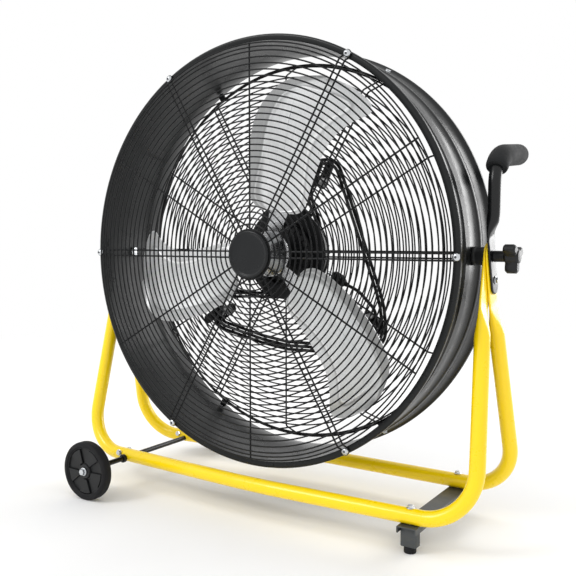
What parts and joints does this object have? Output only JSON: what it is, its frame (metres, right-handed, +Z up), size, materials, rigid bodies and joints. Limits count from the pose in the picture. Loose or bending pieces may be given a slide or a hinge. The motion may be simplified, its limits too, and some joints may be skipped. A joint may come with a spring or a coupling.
{
  "type": "drum fan",
  "caption": "Drum fan with three blades on a tilting two-wheeled tube stand with a push handle.",
  "frame": {"origin": "on the floor under the centre of the drum", "axes": "+X along the tilt axis towards the push handle, +Z up, -Y out of the front grille"},
  "size_m": [0.984, 0.4828, 0.931],
  "materials": {
    "yellow_paint": "gloss",
    "black_paint": "satin",
    "black_wire": "satin",
    "grey_paint": "satin",
    "black_plastic": "satin",
    "black_rubber": "matte",
    "black_foam": "matte",
    "aluminium": "brushed",
    "zinc_steel": "polished"
  },
  "bodies": {
    "stand": {"front_frame_tube": "yellow_paint", "rear_frame_tube": "yellow_paint", "wheel_axle": "black_paint", "axle_collar_front": "black_plastic", "axle_collar_rear": "black_plastic", "axle_bolt_front": "zinc_steel", "axle_bolt_rear": "zinc_steel", "foot_crossbar": "grey_paint", "foot_leg_front": "grey_paint", "foot_leg_rear": "grey_paint", "rubber_foot_front": "black_rubber", "rubber_foot_rear": "black_rubber", "foot_bolt_front": "zinc_steel", "foot_bolt_rear": "zinc_steel", "push_handle": "black_paint", "handle_grip": "black_foam", "handle_bolt": "zinc_steel"},
    "drum": {"drum_shell": "black_paint", "front_grille": "black_wire", "hub_badge": "black_plastic", "rear_guard": "black_wire", "front_screw_1": "zinc_steel", "front_screw_2": "zinc_steel", "front_screw_3": "zinc_steel", "front_screw_4": "zinc_steel", "front_screw_5": "zinc_steel", "front_screw_6": "zinc_steel", "rear_screw_1": "zinc_steel", "rear_screw_2": "zinc_steel", "rear_screw_3": "zinc_steel", "rear_screw_4": "zinc_steel", "rear_screw_5": "zinc_steel", "rear_screw_6": "zinc_steel", "motor_bracket": "black_paint", "motor_front_cover": "black_plastic", "motor_body": "black_paint", "motor_rear_cover": "black_plastic", "switch_box": "black_plastic", "power_cord": "black_rubber", "cord_gland": "black_rubber", "power_plug": "black_rubber", "cord_hook_1": "black_plastic", "cord_hook_2": "black_plastic", "cord_hook_3": "black_plastic", "pivot_spacer_right": "black_plastic", "pivot_spacer_left": "black_plastic", "pivot_stud_right": "zinc_steel", "pivot_stud_left": "zinc_steel"},
    "fan": {"fan_hub": "aluminium", "fan_blade_1": "aluminium", "fan_blade_2": "aluminium", "fan_blade_3": "aluminium", "motor_shaft": "zinc_steel"},
    "front_wheel": {"front_wheel": "black_plastic", "wheel_bolt_front": "zinc_steel"},
    "rear_wheel": {"rear_wheel": "black_plastic", "wheel_bolt_rear": "zinc_steel"},
    "right_tilt_knob": {"tilt_knob_right": "black_plastic"},
    "left_tilt_knob": {"tilt_knob_left": "black_plastic"},
    "speed_knob": {"speed_knob": "black_plastic"}
  },
  "joints": [
    {"name": "drum_tilt", "type": "hinge", "parent": "stand", "child": "drum", "pos_m": [0, 0, 0.511], "axis": [1, 0, 0], "range_deg": [-90, 90]},
    {"name": "fan_spin", "type": "hinge", "parent": "drum", "child": "fan", "pos_m": [0, 0, 0.511], "axis": [0, 1, 0], "continuous": true},
    {"name": "front_wheel_spin", "type": "hinge", "parent": "stand", "child": "front_wheel", "pos_m": [-0.332, -0.2224, 0.0606], "axis": [0, 1, 0], "continuous": true},
    {"name": "rear_wheel_spin", "type": "hinge", "parent": "stand", "child": "rear_wheel", "pos_m": [-0.332, 0.2224, 0.0606], "axis": [0, 1, 0], "continuous": true},
    {"name": "right_tilt_knob_turn", "type": "hinge", "parent": "drum", "child": "right_tilt_knob", "pos_m": [0.48, 0, 0.511], "axis": [1, 0, 0], "range_deg": [-180, 180]},
    {"name": "left_tilt_knob_turn", "type": "hinge", "parent": "drum", "child": "left_tilt_knob", "pos_m": [-0.48, 0, 0.511], "axis": [1, 0, 0], "range_deg": [-180, 180]},
    {"name": "speed_knob_turn", "type": "hinge", "parent": "drum", "child": "speed_knob", "pos_m": [-0.026, 0.1, 0.533], "axis": [0, 1, 0], "range_deg": [0, 90]}
  ]
}
